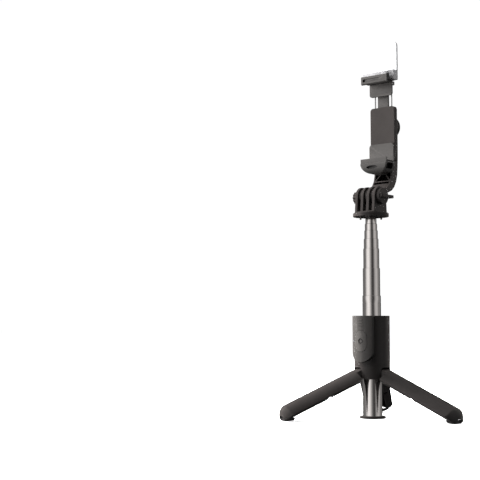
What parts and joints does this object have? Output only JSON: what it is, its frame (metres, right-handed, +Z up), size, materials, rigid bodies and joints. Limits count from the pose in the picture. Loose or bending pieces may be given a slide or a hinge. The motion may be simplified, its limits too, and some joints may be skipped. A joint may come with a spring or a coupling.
{
  "type": "tripod selfie stick",
  "caption": "Telescopic selfie stick with folding tripod legs, tilting sprung phone clamp, fill light and removable remote.",
  "frame": {"origin": "on the pole axis, on the bottom face of the end cap, level with the feet", "axes": "+Z up along the pole, -Y towards the remote and the phone's screen side, +X to the right seen from the front"},
  "size_m": [0.1512, 0.1698, 0.3695],
  "materials": {
    "body_plastic": "fine satin charcoal",
    "remote_plastic": "satin dark grey",
    "chrome": "polished, slightly warm",
    "steel": "plain",
    "rubber": "matt black",
    "jaw_plastic": "satin grey",
    "light_plastic": "satin light grey",
    "diffuser": "milky white, lit",
    "board": "green solder mask",
    "cell": "nickel",
    "bushing": "white acetal"
  },
  "bodies": {
    "stand": {"body_shell": "body_plastic", "body_collar": "body_plastic", "tripod_hub": "body_plastic", "pole_section_1": "chrome", "end_cap": "body_plastic", "leg_pin_1": "steel", "leg_pin_2": "steel", "leg_pin_3": "steel"},
    "leg_1": {"leg_1": "body_plastic", "foot_pad_1": "rubber"},
    "leg_2": {"leg_2": "body_plastic", "foot_pad_2": "rubber"},
    "leg_3": {"leg_3": "body_plastic", "foot_pad_3": "rubber"},
    "remote": {"remote_shell": "remote_plastic", "remote_back": "remote_plastic", "remote_board": "board", "coin_cell": "cell", "remote_led": "diffuser"},
    "remote_button": {"remote_button": "remote_plastic"},
    "pole_2": {"pole_section_2": "chrome", "pole_bush_2": "bushing"},
    "pole_3": {"pole_section_3": "chrome", "pole_bush_3": "bushing"},
    "pole_4": {"pole_section_4": "chrome", "pole_bush_4": "bushing"},
    "pole_5": {"pole_section_5": "chrome", "pole_bush_5": "bushing"},
    "pole_6": {"pole_section_6": "chrome", "pole_bush_6": "bushing"},
    "pole_7": {"pole_section_7": "chrome", "pole_bush_7": "bushing"},
    "head": {"pole_section_8": "chrome", "pole_bush_8": "bushing", "top_plug": "bushing", "top_cap": "body_plastic", "knuckle_base": "body_plastic", "knuckle_nut": "body_plastic"},
    "thumb_screw": {"thumb_screw": "body_plastic"},
    "arm": {"arm": "body_plastic"},
    "clamp": {"clamp_front_shell": "body_plastic", "clamp_back_shell": "body_plastic", "lower_jaw": "jaw_plastic", "lower_pad": "rubber", "pivot_washer": "steel", "pivot_screw": "steel", "pivot_cover": "body_plastic", "jaw_spring_1": "steel", "jaw_spring_2": "steel"},
    "upper_jaw": {"upper_jaw": "jaw_plastic", "upper_pad": "rubber", "guide_rod_1": "steel", "guide_rod_2": "steel", "light_shell": "light_plastic", "light_lens": "diffuser", "light_board": "board", "light_battery": "cell"},
    "light_button": {"light_button": "light_plastic"}
  },
  "joints": [
    {"name": "leg_1_fold", "type": "hinge", "parent": "stand", "child": "leg_1", "pos_m": [-0.0063, -0.01091, 0.0442], "axis": [0.866, -0.5, 0], "range_deg": [0, 66]},
    {"name": "leg_2_fold", "type": "hinge", "parent": "stand", "child": "leg_2", "pos_m": [0.0126, 0, 0.0442], "axis": [0, 1, 0], "range_deg": [0, 66]},
    {"name": "leg_3_fold", "type": "hinge", "parent": "stand", "child": "leg_3", "pos_m": [-0.0063, 0.01091, 0.0442], "axis": [-0.866, -0.5, 0], "range_deg": [0, 66]},
    {"name": "remote_slide", "type": "slide", "parent": "stand", "child": "remote", "axis": [0, 0, 1], "range_m": [0, 0.045]},
    {"name": "remote_press", "type": "slide", "parent": "remote", "child": "remote_button", "axis": [0, 1, 0], "range_m": [0, 0.0004], "stiffness_N_per_m": 1500},
    {"name": "pole_2_slide", "type": "slide", "parent": "stand", "child": "pole_2", "axis": [0, 0, 1], "range_m": [-0.0215, 0.0567]},
    {"name": "pole_3_slide", "type": "slide", "parent": "pole_2", "child": "pole_3", "axis": [0, 0, 1], "range_m": [-0.0262, 0.052]},
    {"name": "pole_4_slide", "type": "slide", "parent": "pole_3", "child": "pole_4", "axis": [0, 0, 1], "range_m": [-0.0188, 0.0594]},
    {"name": "pole_5_slide", "type": "slide", "parent": "pole_4", "child": "pole_5", "axis": [0, 0, 1], "range_m": [-0.0092, 0.069]},
    {"name": "pole_6_slide", "type": "slide", "parent": "pole_5", "child": "pole_6", "axis": [0, 0, 1], "range_m": [-0.0078, 0.0704]},
    {"name": "pole_7_slide", "type": "slide", "parent": "pole_6", "child": "pole_7", "axis": [0, 0, 1], "range_m": [-0.0061, 0.0721]},
    {"name": "pole_8_slide", "type": "slide", "parent": "pole_7", "child": "head", "axis": [0, 0, 1], "range_m": [-0.0062, 0.072]},
    {"name": "thumb_screw_turn", "type": "hinge", "parent": "head", "child": "thumb_screw", "pos_m": [0, 0, 0.2132], "axis": [1, 0, 0], "continuous": true},
    {"name": "knuckle_tilt", "type": "hinge", "parent": "head", "child": "arm", "pos_m": [0, 0, 0.2132], "axis": [1, 0, 0], "range_deg": [-45, 110]},
    {"name": "clamp_rotate", "type": "hinge", "parent": "arm", "child": "clamp", "pos_m": [0, 0.0305, 0.286], "axis": [0, 1, 0], "range_deg": [-135, 135]},
    {"name": "jaw_slide", "type": "slide", "parent": "clamp", "child": "upper_jaw", "axis": [0, 0, 1], "range_m": [-0.02, 0.0117], "deforming": ["jaw_spring_1", "jaw_spring_2"]},
    {"name": "light_press", "type": "slide", "parent": "upper_jaw", "child": "light_button", "axis": [0, 1, 0], "range_m": [0, 0.0006], "stiffness_N_per_m": 1500}
  ]
}
